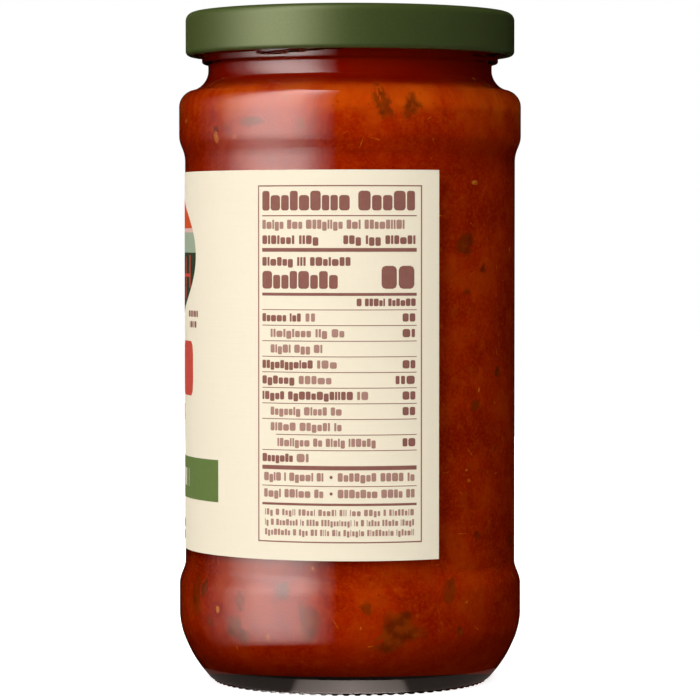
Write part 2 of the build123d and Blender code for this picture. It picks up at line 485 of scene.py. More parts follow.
sauce_colour, start, end = group("sauce colour", {"Place": None}, ["Colour"])
tree, place = sauce_colour, start["Place"]
height = add_node(tree, "SeparateXYZ", {0: place}).outputs["Z"]
clouds = use_group(tree, cloudy, Place=place, Scale=70.0, Detail=4.0, Low=0.34, High=0.68)
# Painted light: the sauce colour is lighter up on the shoulder, where the top lamp falls.
painted_shoulder_light = stretch(tree, height, 0.1195, 0.1270, to_high=0.42, smooth=True)
share = add_node(tree, "Math", {
    0: sums(tree, "MULTIPLY", clouds["Mask"], CLOUD_SHARE), 1: painted_shoulder_light},
    operation="ADD", use_clamp=True).outputs[0]
base = ramp(tree, share, [(0.0, SAUCE_DARK), (0.5, SAUCE_MIDDLE), (1.0, SAUCE_LIGHT)])
for shared, settings, strength, colour in SAUCE_LAYERS:
    mask = use_group(tree, shared, Place=place, **settings)["Mask"]
    base = blend(tree, sums(tree, "MULTIPLY", mask, strength), base, colour)

# %% [markdown]
# The lid shades the neck, and that shade is painted into the sauce's colour as a dark red.
# Painted shade also makes the sauce a little darker low down and just above the label, where
# the turn of the glass lets less light in.

# %% Painted shade on the sauce by height
SAUCE_NECK_SHADE = (0.280, 0.0022, 0.0002)
SAUCE_PAINTED_SHADE = (0.260, 0.0070, 0.0002)
# Height as a share of the sauce's level, and how much of the painted shade covers it there.
PAINTED_SHADE_STOPS = [
    (0.0, 0.55), (0.08, 0.50), (0.14, 0.08), (0.20, 0.0), (0.79, 0.0), (0.815, 0.38),
    (0.848, 0.28), (0.875, 0.05)]

# Painted shade under the lid, then painted shade low down and just above the label.
painted_neck_shade = stretch(tree, height, 0.1280, 0.1315, to_high=0.92, smooth=True)
base = blend(tree, painted_neck_shade, base, SAUCE_NECK_SHADE)
levels = stretch(tree, height, 0.0, SAUCE_LEVEL * MM)
painted_height_shade = ramp(tree, levels, [(level, (share,) * 3) for level, share in PAINTED_SHADE_STOPS])
tree.links.new(blend(tree, painted_height_shade, base, SAUCE_PAINTED_SHADE), end["Colour"])
print("sauce colour:", len(tree.nodes), "nodes")

# %% [markdown]
# Little light gets under the jar, and the thick bottom of the glass hides what there is.
# The sauce's underside is therefore painted all but black as painted shade, wherever it is
# close to the origin.

# %% Sauce finish
UNDERSIDE_SHADE = (0.044, 0.031, 0.026)
UNDERSIDE_EDGE = 0.0268

sauce_red, tree, output, place = new_material("tomato_sauce")
base = use_group(tree, sauce_colour, Place=place)["Colour"]
from_origin = add_node(tree, "VectorMath", {0: place}, operation="LENGTH").outputs["Value"]
# Painted shade: the underside close to the origin is all but black.
painted_underside_shade = stretch(tree, from_origin, UNDERSIDE_EDGE, UNDERSIDE_EDGE - 0.0005)
base = blend(tree, painted_underside_shade, base, UNDERSIDE_SHADE)
grain = use_group(tree, fine_grain, Place=place, Scale=2600.0)["Mask"]
principled(tree, output, {
    "Base Color": base, "Roughness": 0.6, "Specular IOR Level": 0.0,
    "Normal": bump(tree, grain, 0.25, 0.0002)})
finish_piece("sauce_body", bm, sauce_red, ["sauce"])

# %% [markdown]
# ## What floats in the sauce
#
# Torn basil, bits of onion, seeds and pulp fibres press against the glass all round. Each
# bit is a small sheet with a ragged edge, given a thickness and wrapped on the wall of the
# sauce so that its face just shows through. A bit that lies deeper is veiled by the sauce,
# so each bit may have a limit to how much of it shows. One piece holds all bits of a kind.

# %% Flat bits on the wall
bits = Random(7)


def flat_bit(bm, angle, height, width, length, turn, ragged=0.15, thick=0.3, cells=4,
             proud=0.06, showing=1.0):
    """Add one ragged oval sheet, wrapped on the sauce's wall; sizes in millimetres."""
    layers = bm.verts.layers.float
    inside = layers.get("inside") or layers.new("inside")
    new = bmesh.ops.create_grid(
        bm, x_segments=cells, y_segments=cells, size=1.0)["verts"]
    waves = [bits.uniform(-1, 1) for _ in range(6)]
    for v in new:
        x, y = v.co.x, v.co.y
        v[inside] = min(1 - max(abs(x), abs(y)), showing)
        x, y = x * sqrt(1 - y * y / 2), y * sqrt(1 - x * x / 2)
        spoke = atan2(y, x)
        edge = 1 + ragged * (
            waves[0] * sin(2 * spoke + waves[1] * 3) + waves[2] * sin(3 * spoke + waves[3] * 3)
            + 0.7 * waves[4] * sin(5 * spoke + waves[5] * 3))
        v.co = (x * edge * width / 2, y * edge * length / 2, 0)
    faces = list({f for v in new for f in v.link_faces})
    grown = bmesh.ops.extrude_face_region(bm, geom=faces)["geom"]
    top = {g for g in grown if isinstance(g, bmesh.types.BMVert)}
    lean = radians(turn)
    for v in set(new) | top:
        x, y = v.co.x, v.co.y
        level = proud if v in top else proud - thick
        across = x * cos(lean) - y * sin(lean)
        up = height + x * sin(lean) + y * cos(lean)
        r = wall_radius(up) + level
        phi = radians(angle) + across / r
        v.co = (r * sin(phi) * MM, -r * cos(phi) * MM, up * MM)


def scatter(bm, count, low, high, **sizes):
    """Add bits all round between two heights; each size is drawn between two numbers."""
    for _ in range(count):
        drawn = {key: bits.uniform(*span) if isinstance(span, tuple) else span
                 for key, span in sizes.items()}
        flat_bit(bm, bits.uniform(-180, 180), bits.uniform(low, high), **drawn)


def finish_bits(name, bm, material):
    """Face every bit outwards and make them one piece."""
    bmesh.ops.recalc_face_normals(bm, faces=bm.faces)
    finish_piece(name, bm, material, even=False)


# %% [markdown]
# All bits are wet with sauce and have soft edges. Each finish is therefore the bit's own
# clouded colour, blended into the colour of the sauce towards its rim. How far a point lies
# inside its bit is kept in the mesh as the attribute "inside", which the finish reads.

# %% Finishes of the bits
def bit_finish(name, dark, light, scale, rim=0.5):
    """A clouded finish for one kind of bit, which fades into the sauce towards its rim."""
    material, tree, output, place = new_material(name)
    mask = use_group(tree, cloudy, Place=place, Scale=scale, Detail=4.0, Low=0.35, High=0.65)
    own = ramp(tree, mask["Mask"], [(0, dark), (1, light)])
    around_it = use_group(tree, sauce_colour, Place=place)["Colour"]
    ragged = use_group(tree, cloudy, Place=place, Scale=scale * 2, Detail=3.0, Low=0.3, High=0.7)
    depth = sums(
        tree, "ADD", add_node(tree, "Attribute", attribute_name="inside").outputs["Fac"],
        sums(tree, "MULTIPLY", sums(tree, "SUBTRACT", ragged["Mask"], 0.5), rim * 0.55))
    shown = stretch(tree, depth, 0.02, rim, to_high=0.92, smooth=True)
    grain = use_group(tree, fine_grain, Place=place, Scale=scale * 4)["Mask"]
    principled(tree, output, {
        "Base Color": blend(tree, shown, around_it, own), "Roughness": 0.55,
        "Specular IOR Level": 0.0, "Normal": bump(tree, grain, 0.4)})
    return material


herb_green = bit_finish("basil", (0.135, 0.018, 0.0010), (0.290, 0.044, 0.0020), 420, rim=0.52)
onion_pale = bit_finish("onion", (0.60, 0.105, 0.006), (0.74, 0.21, 0.020), 500, rim=0.6)
seed_pale = bit_finish("seed", (0.66, 0.15, 0.010), (0.80, 0.30, 0.045), 700, rim=0.5)
fibre_gold = bit_finish("fibre", (0.56, 0.080, 0.003), (0.68, 0.15, 0.007), 500, rim=0.7)
speck_dark = bit_finish("speck", (0.07, 0.004, 0.0005), (0.16, 0.009, 0.0005), 900, rim=0.35)

# %% Torn basil
# Angle, height, width, length, turn and how much of it shows.
LEAVES = [
    (-66.1, 19.7, 4.4, 11.0, 4, 0.38), (-42.7, 13.9, 7.6, 5.4, -12, 0.44),
    (-14.2, 16.4, 5.4, 9.4, 8, 0.40), (16.7, 14.2, 13.0, 8.6, 24, 0.58),
    (36.7, 22.1, 3.4, 7.2, -8, 0.38), (11.2, 126.0, 4.6, 7.2, 28, 0.42),
    (21.6, 125.5, 6.0, 4.4, 35, 0.42), (45.1, 96.5, 4.6, 7.2, -24, 0.46),
    (54.7, 91.2, 2.4, 2.3, 0, 0.44), (64.7, 68.7, 3.0, 3.0, 20, 0.42),
    (50.4, 61.9, 3.8, 2.6, 10, 0.42), (-36.0, 122.6, 6.4, 2.8, 10, 0.38),
]
# How many, from which height to which, and the width and length at least and at most.
SCRAPS = [
    (14, 12, 24, (1.6, 5.5), (1.6, 5.0)), (10, 116, 127, (1.4, 4.0), (1.4, 3.0)),
    (26, 27, 114, (1.2, 4.0), (1.2, 3.5)),
]
bm = bmesh.new()
for angle, height, width, length, turn, showing in LEAVES:
    flat_bit(bm, angle, height, width, length, turn, ragged=0.24, thick=0.35, cells=7,
             showing=showing)
for count, low, high, widths, lengths in SCRAPS:
    scatter(bm, count, low, high, width=widths, length=lengths, turn=(0, 180), ragged=0.25,
            showing=(0.26, 0.44))
finish_bits("basil_flakes", bm, herb_green)

# %% Onion, seeds, fibres and specks
bm = bmesh.new()
for angle, height, width, length, turn in [
        (-75.8, 123.3, 1.6, 1.2, 0), (76.9, 95.2, 1.6, 1.3, 0), (-29.5, 12.8, 0.9, 1.5, 0)]:
    flat_bit(bm, angle, height, width, length, turn)
scatter(bm, 60, 10, 134, width=(0.5, 1.5), length=(0.5, 1.3), turn=(0, 180), ragged=0.2)
finish_bits("onion_bits", bm, onion_pale)

bm = bmesh.new()
flat_bit(bm, -52.9, 119.6, 1.7, 2.7, 14, ragged=0.06)
scatter(bm, 12, 11, 130, width=(1.2, 1.6), length=(1.9, 2.5), turn=(0, 180), ragged=0.06)
finish_bits("tomato_seeds", bm, seed_pale)

bm = bmesh.new()
scatter(bm, 340, 9, 126, width=(0.16, 0.46), length=(0.9, 3.4), turn=(0, 180), ragged=0.3,
        thick=0.2, proud=0.03, showing=(0.28, 0.62))
finish_bits("pulp_fibres", bm, fibre_gold)

bm = bmesh.new()
scatter(bm, 1100, 9, 136, width=(0.16, 0.42), length=(0.16, 0.42), turn=(0, 180), thick=0.2,
        cells=2, proud=0.04)
finish_bits("spice_specks", bm, speck_dark)

# %% [markdown]
# ## The lid
#
# The lid is pressed from lacquered tinplate: a crown over the rim, a sunk panel with the
# safety button, a straight skirt and a rolled curl at the bottom. Its outline is one closed
# run from the top of the button round the curl and back underneath. The four lugs that
# catch the threads are pushed inwards from the curl.

# %% Lid body
LID_RADIUS = 36.3
LID_TOP, LID_BOTTOM = 147.4, 137.85
SHEET = 0.45
CURL = 2.1
CURL_ROUNDING = CURL / 2 - 0.02
CROWN_ROUNDING = 1.8
PRESS = 0.6
PANEL_EDGE, PANEL_Z = 25.2, 146.3
BUTTON, BUTTON_Z = 13.0, 145.8
LUG_ANGLE, LUG_SWEEP, LUG_REACH, LUG_EASE = 25, 15, 0.95, 2.5

lid_corners = [
    (0, BUTTON_Z, 0), (BUTTON - 0.9, BUTTON_Z, PRESS), (BUTTON, PANEL_Z, PRESS),
    (PANEL_EDGE, PANEL_Z, PRESS), (PANEL_EDGE + 1.2, LID_TOP, PRESS),
    (LID_RADIUS, LID_TOP, CROWN_ROUNDING), (LID_RADIUS, LID_BOTTOM, CURL_ROUNDING),
    (LID_RADIUS - CURL, LID_BOTTOM, CURL_ROUNDING),
    (LID_RADIUS - CURL, LID_BOTTOM + CURL, CURL_ROUNDING),
    (LID_RADIUS - SHEET, LID_BOTTOM + CURL, 0),
    (LID_RADIUS - SHEET, RIM, CROWN_ROUNDING - SHEET), (PANEL_EDGE + 1.42, RIM, 0.3),
    (PANEL_EDGE + 0.22, PANEL_Z - SHEET, 0.3), (BUTTON + 0.22, PANEL_Z - SHEET, 0.3),
    (BUTTON - 0.68, BUTTON_Z - SHEET, 0.3), (0, BUTTON_Z - SHEET, 0),
]
bm = outline(lid_corners)
spin_round(bm, 360)
for v in bm.verts:
    r = v.co.xy.length / MM
    off = abs((azimuth(v.co) - LUG_ANGLE + 45) % 90 - 45)
    if v.co.z < (LID_BOTTOM + CURL - 0.1) * MM and off < LUG_SWEEP / 2 and r < LID_RADIUS - 1:
        push = min(1, (LUG_SWEEP / 2 - off) / LUG_EASE)
        push = push * push * (3 - 2 * push) * LUG_REACH
        v.co.xy *= (r - push) / r
print("lid volume", round(bm.calc_volume() * 1e6, 2), "cm3")

# %% [markdown]
# The lacquer is a muted leaf green with a satin surface. A fine grain in its colour and its
# bump breaks up the broad highlight, which is tinted a little by the lacquer.

# %% Lid finish
LACQUER = (0.043, 0.060, 0.0130)

lacquer, tree, output, place = new_material("green_lacquer")
grain = use_group(tree, scattered, Place=place, Scale=2600.0, Size=0.75, Share=0.5)
drift = use_group(tree, cloudy, Place=place, Scale=60.0, Detail=2.0, Low=0.3, High=0.7)
tint = blend(tree, sums(tree, "MULTIPLY", drift["Mask"], 0.25), LACQUER, (0.034, 0.052, 0.0098))
tint = blend(tree, sums(tree, "MULTIPLY", grain["Mask"], 0.35), tint, (0.066, 0.086, 0.024))
fine = use_group(tree, fine_grain, Place=place, Scale=3200.0)["Mask"]
principled(tree, output, {
    "Base Color": tint, "Metallic": 0.15, "Roughness": stretch(tree, fine, 0.0, 1.0, 0.35, 0.47),
    "Specular IOR Level": 0.5, "Specular Tint": (0.97, 1.0, 0.86, 1),
    "Normal": bump(tree, fine, 0.12)})
finish_piece("lid_shell", bm, lacquer, ["lid"])

# %% [markdown]
# ## The label
#
# The label is one sheet of cream laid paper. It is easiest to lay out flat, so everything
# on it is drawn in a plane where X is the distance round the jar and Z the height. A last
# step rolls the plane onto the glass. The print is raised by a hair, as thick ink is.

# %% Flat layout and wrapping
LABEL_RADIUS = 36.45
PAPER = 0.10
PRINT_RADIUS = LABEL_RADIUS + PAPER
LABEL_LOW, LABEL_HIGH = 29.45, 112.2
LABEL_END, LABEL_WRAP = 31.2, 278.0


def flat_rectangle(bm, s0, s1, z0, z1, rounding=0, step=1.5):
    """Add a rectangle to the flat layout, cut often enough to bend; sizes in millimetres."""
    place = (
        Matrix.Translation(((s0 + s1) / 2 * MM, 0, (z0 + z1) / 2 * MM))
        @ Matrix.Rotation(pi / 2, 4, "X")
        @ Matrix.Diagonal(((s1 - s0) * MM, (z1 - z0) * MM, 1, 1)))
    new = bmesh.ops.create_grid(
        bm, x_segments=max(1, ceil((s1 - s0) / step)), y_segments=1, size=0.5,
        matrix=place)["verts"]
    if rounding:
        corners = [v for v in new if len(v.link_edges) == 2]
        bmesh.ops.bevel(
            bm, geom=corners, affect="VERTICES", offset_type="ABSOLUTE", offset=rounding * MM,
            segments=2, profile=0.5, material=-1)


def roll_up(bm, bottom, top):
    """Give the flat layout its thickness and roll it round the jar, between two radii."""
    grown = bmesh.ops.extrude_face_region(bm, geom=bm.faces[:])["geom"]
    upper = {g for g in grown if isinstance(g, bmesh.types.BMVert)}
    for v in bm.verts:
        r = top if v in upper else bottom
        phi = v.co.x / MM / PRINT_RADIUS
        v.co = (r * sin(phi) * MM, -r * cos(phi) * MM, v.co.z)
    bmesh.ops.recalc_face_normals(bm, faces=bm.faces)


# %% [markdown]
# Laid paper shows faint level lines, in its colour and to the touch, and a few darker flecks
# of pulp. It is matt, with next to no shine.

# %% Paper finish
CREAM = (0.815, 0.732, 0.568)
LINE_SHADE = (0.735, 0.650, 0.490)
FLECK_SHADE = (0.66, 0.57, 0.43)

cream_paper, tree, output, place = new_material("cream_laid_paper")
lines = use_group(tree, laid_lines, Place=place, Roughness=0.6)["Mask"]
fleck = use_group(tree, cloudy, Place=place, Scale=900.0, Detail=3.0, Low=0.4, High=0.7)["Mask"]
tone = blend(tree, sums(tree, "MULTIPLY", lines, 0.22), CREAM, LINE_SHADE)
tone = blend(tree, sums(tree, "MULTIPLY", fleck, 0.05), tone, FLECK_SHADE)
principled(tree, output, {
    "Base Color": tone, "Roughness": 0.8, "Specular IOR Level": 0.08,
    "Normal": bump(tree, lines, 0.25)})
print("paper:", len(tree.nodes), "nodes")

# %% Label sheet
around = PRINT_RADIUS * pi / 180
bm = bmesh.new()
flat_rectangle(bm, (LABEL_END - LABEL_WRAP) * around, LABEL_END * around, LABEL_LOW, LABEL_HIGH)
roll_up(bm, LABEL_RADIUS, PRINT_RADIUS)
finish_piece("label_paper_sheet", bm, cream_paper, ["label"], even=False)

# %% [markdown]
# ## The print
#
# The small table of a food label is mostly rhythm: heavy rules, fine rules and lines of
# words. Real wording would name a product, so each letter is only a small rounded block.
# A line is typed as the number of letters in each word, and the blocks share out the
# line's length. Tall and short letters are drawn from a seeded random run.

# %% Lines of blocks
letters = Random(11)
SPACE, SHORT_LETTER, TAIL, CORNER = 0.62, 0.78, 0.2, 0.26


def block_line(bm, s0, s1, z, cap, words, fill=0.84, tall=0.35):
    """Fill a line from s0 to s1 with one block for each letter of each word."""
    widths = [
        [letters.choice((0.55, 0.95, 1.0, 1.05, 1.3)) for _ in range(word)] for word in words]
    unit = (s1 - s0) / (sum(map(sum, widths)) + SPACE * (len(words) - 1))
    s = s0
    for word in widths:
        for index, share in enumerate(word):
            high = index == 0 or share < 0.6 or letters.random() < tall
            low = not high and share == 1.05
            width = unit * (share - 1 + fill)
            bottom = z - cap * TAIL if low and cap < 3 else z
            top = z + cap * (1 if high else SHORT_LETTER)
            rounding = min(width, top - bottom) * CORNER
            flat_rectangle(bm, s, s + width, bottom, top, rounding=rounding)
            s += unit * share
        s += unit * SPACE


def rule(bm, z, thick, s0=None):
    """A rule across the table, centred on height z."""
    left = TABLE_LEFT if s0 is None else s0
    flat_rectangle(bm, left, TABLE_RIGHT, z - thick / 2, z + thick / 2)


# %% Table heading
TABLE_LEFT, TABLE_RIGHT = -19.55, 14.50
TEXT_LEFT, TEXT_RIGHT, INDENT, DEEP_INDENT = -19.5, 14.4, -17.5, -15.9
FRAME_LEFT, FRAME_RIGHT = -20.60, 15.75
FRAME_LOW, FRAME_HIGH = 33.25, 108.95
FRAME_LINE = 0.27
TITLE, LINE, FINE_RULE = 4.15, 1.85, 0.17

bold, light, thin = (bmesh.new() for _ in range(3))
for z in (FRAME_LOW, FRAME_HIGH - FRAME_LINE):
    flat_rectangle(thin, FRAME_LEFT, FRAME_RIGHT, z, z + FRAME_LINE)
for s in (FRAME_LEFT, FRAME_RIGHT - FRAME_LINE):
    flat_rectangle(thin, s, s + FRAME_LINE, FRAME_LOW + FRAME_LINE, FRAME_HIGH - FRAME_LINE)
block_line(bold, TEXT_LEFT, 0.2, 103.6, TITLE, [9], fill=0.86, tall=0.4)
block_line(bold, 1.75, TEXT_RIGHT, 103.6, TITLE, [5], fill=0.86, tall=0.2)
rule(thin, 102.5, 0.24)
block_line(light, TEXT_LEFT, 11.9, 99.7, 1.95, [5, 3, 8, 3, 9])
block_line(bold, TEXT_LEFT, -6.5, 96.5, LINE, [7, 4])
block_line(bold, -1.4, TEXT_RIGHT, 96.5, LINE, [3, 3, 6])
rule(bold, 95.27, 0.80)
block_line(bold, TEXT_LEFT, 0.3, 91.9, LINE, [6, 3, 7])
block_line(bold, TEXT_LEFT, -2.3, 87.05, 3.75, [8], fill=0.86)
block_line(bold, 6.7, TEXT_RIGHT, 87.05, 4.85, [2], fill=0.88, tall=1)
rule(bold, 85.88, 0.62)
block_line(bold, 1.4, TEXT_RIGHT, 83.4, 1.6, [1, 5, 6])

# %% Table rows
FIRST_ROW, ROW_STEP = 82.60, 3.305
ROW_DROP, ROW_CAP = 2.5, 1.75
FIGURE_WIDTH, SHORT_RULE = 1.55, -16.2
# Bold words and where they end, then start, end and words of the light part, and figures.
ROWS = [
    ([5, 3], -10.4, -9.5, -7.1, [2], 2), ([], None, INDENT, -1.0, [9, 3, 2], 2),
    ([], None, INDENT, -5.7, [5, 3, 2], 0), ([11], -7.8, -7.0, -2.5, [3], 2),
    ([6], -11.8, -11.0, -3.7, [5], 3), ([5, 12], 0.8, 1.5, 4.1, [2], 2),
    ([], None, INDENT, -1.6, [7, 5, 2], 2), ([], None, INDENT, -1.6, [5, 6, 2], 0),
    ([], None, DEEP_INDENT, 5.6, [8, 2, 5, 6], 2), ([7], -12.2, -11.5, -8.6, [2], 0),
]
for index, (words, words_end, light_start, light_end, light_words, figures) in enumerate(ROWS):
    top = FIRST_ROW - ROW_STEP * index
    z = top - ROW_DROP
    rule(thin, top, FINE_RULE, SHORT_RULE if light_start == DEEP_INDENT else None)
    if words:
        block_line(bold, TEXT_LEFT, words_end, z, ROW_CAP, words)
    block_line(light, light_start, light_end, z, ROW_CAP, light_words)
    if figures:
        left = TEXT_RIGHT - figures * FIGURE_WIDTH
        block_line(bold, left, TEXT_RIGHT, z, ROW_CAP, [figures], tall=1)

# %% Table foot
DOT_LEFT, DOT = -4.35, 0.7

rule(bold, 49.15, 0.88)
for z, left in ((46.3, [4, 1, 5, 2]), (42.8, [4, 5, 2])):
    block_line(light, -19.1, -5.5, z, 1.8, left)
    flat_rectangle(bold, DOT_LEFT, DOT_LEFT + DOT, z + 0.55, z + 0.55 + DOT, rounding=0.34)
    block_line(light, -2.6, 14.2, z, 1.8, [7, 4, 2])
rule(thin, 45.27, FINE_RULE)
rule(bold, 41.4, 0.5)
for z, words in (
        (39.0, [3, 1, 5, 5, 5, 3, 3, 4, 1, 8]), (36.85, [2, 1, 7, 2, 4, 11, 2, 1, 5, 5, 5]),
        (34.75, [8, 1, 3, 2, 4, 3, 7, 9, 7])):
    block_line(light, -18.9, 14.1, z, 1.35, words, fill=0.7)
print("table:", len(bold.faces), "bold and", len(light.faces), "light faces")

# %% [markdown]
# The front of the label lies round to the left, so only its right-hand end shows beside
# the table. It carries plain fields of colour: an oval medallion in bands, a row of red
# blocks, a green banner with cream bars, and small lines of blocks.

# %% Medallion
FRONT = -107.0 * around
OVAL_MIDDLE, OVAL_WIDE, OVAL_TALL = 93.9, 25.9, 14.3


def oval_band(bm, z0, z1):
    """The part of the medallion's oval between two heights."""
    part = bmesh.new()
    place = (
        Matrix.Translation((FRONT * MM, 0, OVAL_MIDDLE * MM)) @ Matrix.Rotation(pi / 2, 4, "X")
        @ Matrix.Diagonal((OVAL_WIDE * MM, OVAL_TALL * MM, 1, 1)))
    bmesh.ops.create_circle(part, cap_ends=True, segments=96, radius=1.0, matrix=place)
    for height, side in ((z0, -1), (z1, 1)):
        bmesh.ops.bisect_plane(
            part, geom=part.verts[:] + part.edges[:] + part.faces[:],
            plane_co=(0, 0, height * MM), plane_no=(0, 0, side), clear_outer=True)
    for cut in range(-15, 16):
        bmesh.ops.bisect_plane(
            part, geom=part.verts[:] + part.edges[:] + part.faces[:],
            plane_co=((FRONT + cut * 1.6) * MM, 0, 0), plane_no=(1, 0, 0))
    mesh = bpy.data.meshes.new("band")
    part.to_mesh(mesh)
    part.free()
    bm.from_mesh(mesh)
    bpy.data.meshes.remove(mesh)


red, orange, pink, sage, dark, green, cream = (bmesh.new() for _ in range(7))
oval_band(orange, 99.9, 108.3)
oval_band(pink, 99.0, 99.9)
oval_band(sage, 94.6, 99.0)
oval_band(dark, 79.5, 94.6)
for side in (-1, 1):
    for s, z0, z1 in ((21.8, 87.0, 94.0), (17.5, 84.6, 93.6), (12.6, 83.0, 93.6)):
        flat_rectangle(red, FRONT + side * s - 0.4, FRONT + side * s + 0.4, z0, z1)
    flat_rectangle(red, FRONT + side * 12 - 10, FRONT + side * 12 + 10, 89.3, 90.0)
print("medallion", 2 * OVAL_WIDE, "by", 2 * OVAL_TALL, "mm")

# %% Red blocks, banner and small lines
for s, width in ((-19.2, 9.6), (-8.7, 9.0), (0.6, 7.6), (9.1, 7.6), (19.2, 9.6)):
    flat_rectangle(red, FRONT + s - width / 2, FRONT + s + width / 2, 63.4, 75.3, rounding=3.0)
block_line(red, FRONT - 15.8, FRONT + 15.8, 57.7, 3.7, [3, 5, 3], fill=0.55, tall=1)
flat_rectangle(green, FRONT - 35.8, FRONT + 35.8, 40.9, 50.0)
block_line(cream, FRONT - 22.4, FRONT + 22.4, 43.5, 3.9, [6, 4, 5], fill=0.5, tall=1)
block_line(bold, FRONT + 20.8, FRONT + 27.4, 80.6, 1.4, [5], fill=0.7, tall=1)
block_line(bold, FRONT + 21.6, FRONT + 26.6, 78.3, 1.4, [4], fill=0.7, tall=1)
block_line(bold, FRONT - 16.4, FRONT + 16.4, 34.3, 1.8, [3, 6, 2, 6, 4], fill=0.6)
block_line(bold, FRONT - 16.4, FRONT + 16.4, 31.7, 1.8, [4, 7, 5], fill=0.6)
print("front:", len(red.faces), "red and", len(cream.faces), "cream faces")

# %% [markdown]
# Round at the back of the jar the label ends in a panel of small print. It is only lines
# of blocks, long and short, in the same ink.

# %% Back panel
BACK_LEFT, BACK_RIGHT = -154.0, -114.0
for index in range(17):
    z = 102.0 - index * 3.1
    shorter = letters.uniform(0, 9) if index % 4 == 3 else 0
    words = [letters.randint(2, 9) for _ in range(5 if shorter else 6)]
    block_line(light, BACK_LEFT, BACK_RIGHT - shorter, z, 1.6, words, fill=0.72)
flat_rectangle(bold, BACK_LEFT, BACK_RIGHT, 106.2, 106.9)
flat_rectangle(bold, BACK_LEFT, BACK_RIGHT, 48.6, 49.3)
print("back panel", BACK_RIGHT - BACK_LEFT, "mm wide")

# %% [markdown]
# Printing ink is matt and never quite even. Each colour is blended in soft blotches with a
# paler one of its own kind, as if slightly worn, and the paper's lines show through in the
# bump. One function makes all ten inks.

# %% Ink finishes
def ink(name, colour, worn):
    """Matt ink that lies a little unevenly on the paper's lines."""
    material, tree, output, place = new_material(name)
    uneven = use_group(tree, cloudy, Place=place, Scale=700.0, Detail=3.0, Low=0.3, High=0.7)
    lines = use_group(tree, laid_lines, Place=place, Roughness=0.5)["Mask"]
    tone = blend(tree, sums(tree, "MULTIPLY", uneven["Mask"], 0.35), colour, worn)
    principled(tree, output, {
        "Base Color": tone, "Roughness": 0.7, "Specular IOR Level": 0.1,
        "Normal": bump(tree, lines, 0.2)})
    return material


INK_SINK = 0.02
# Name, flat layout, colour, worn colour and how far it stands on the paper.
PRINTS = [
    ("table_bold", bold, (0.225, 0.090, 0.070), (0.27, 0.12, 0.095), 0.030),
    ("table_rules", thin, (0.25, 0.105, 0.082), (0.31, 0.15, 0.12), 0.022),
    ("table_light", light, (0.35, 0.19, 0.15), (0.42, 0.25, 0.20), 0.025),
    ("medallion_orange", orange, (0.52, 0.060, 0.012), (0.58, 0.11, 0.02), 0.020),
    ("medallion_pink", pink, (0.66, 0.42, 0.36), (0.70, 0.48, 0.42), 0.020),
    ("medallion_sage", sage, (0.30, 0.36, 0.25), (0.36, 0.40, 0.30), 0.020),
    ("medallion_dark", dark, (0.012, 0.022, 0.012), (0.05, 0.04, 0.015), 0.020),
    ("front_red", red, (0.48, 0.055, 0.035), (0.52, 0.08, 0.05), 0.035),
    ("banner_green", green, (0.105, 0.155, 0.040), (0.12, 0.175, 0.05), 0.020),
    ("banner_cream", cream, (0.80, 0.72, 0.56), (0.84, 0.76, 0.60), 0.035),
]
for name, bm, colour, worn, lift in PRINTS:
    roll_up(bm, PRINT_RADIUS - INK_SINK, PRINT_RADIUS + lift)
    finish_piece(name, bm, ink(name + "_ink", colour, worn), even=False)

# %% [markdown]
# ## Floor, cards and light
#
# The jar stands on a pale floor in soft light. Clear glass shows whatever surrounds it, so
# the surroundings matter as much as the lamps: one tall curved softbox on the left draws the
# long pale reflection, black card all round keeps the rest of the glass deep and clean, and
# a faint glow on the table greys the middle of the foot. Only gloss and glass see these
# three. The floor is seen white, and takes the jar's shadow.

# %% Floor
def stage_piece(name, bm, material):
    """A thing on the set that isn't part of the jar."""
    thing = new_object(name, bm, material)
    thing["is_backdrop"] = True
    return thing


def seen_directly(tree):
    """1 for rays that come from the camera straight, off gloss or through glass."""
    path = add_node(tree, "LightPath").outputs
    seen = sums(tree, "ADD", path["Is Camera Ray"], path["Is Glossy Ray"])
    seen = sums(tree, "ADD", seen, path["Is Transmission Ray"])
    seen = sums(tree, "MINIMUM", seen, 1.0)
    unscattered = sums(tree, "LESS_THAN", path["Diffuse Depth"], 0.5)
    return sums(tree, "MULTIPLY", seen, unscattered)


FLOOR_GREY, FLOOR_GLOW = 0.72, 0.75

floor_white, tree, output, _ = new_material("floor_white")
principled(tree, output, {
    "Base Color": (FLOOR_GREY, FLOOR_GREY, FLOOR_GREY, 1), "Roughness": 0.9,
    "Specular IOR Level": 0.0, "Emission Color": (1, 1, 1, 1),
    "Emission Strength": sums(tree, "MULTIPLY", seen_directly(tree), FLOOR_GLOW)})
bm = bmesh.new()
bmesh.ops.create_circle(bm, cap_ends=True, segments=64, radius=3.0)
floor = stage_piece("floor", bm, floor_white)
floor.visible_glossy = False
floor.visible_transmission = False

# %% Black card drum
DRUM_RADIUS = 1.5

card_black, tree, output, _ = new_material("card_black")
card = add_node(tree, "BsdfDiffuse", {"Color": (0.002, 0.002, 0.002, 1)})
opening = add_node(tree, "BsdfTransparent")
mixed = add_node(tree, "MixShader", {
    0: seen_directly(tree), 1: opening.outputs[0], 2: card.outputs[0]})
tree.links.new(mixed.outputs[0], output.inputs["Surface"])
bm = bmesh.new()
bmesh.ops.create_cone(
    bm, cap_ends=True, segments=64, radius1=DRUM_RADIUS, radius2=DRUM_RADIUS, depth=3.6,
    matrix=Matrix.Translation((0, 0, 0.6)))
bmesh.ops.reverse_faces(bm, faces=bm.faces)
drum = stage_piece("black_drum", bm, card_black)

# %% [markdown]
# The softbox is a curved wall of cloth that leans in at the top. Its glow is brightest in
# the middle and fades to both sides and to the floor, as a real one does behind its cloth,
# so the reflection has soft edges. Both fades are ramps over its own place.

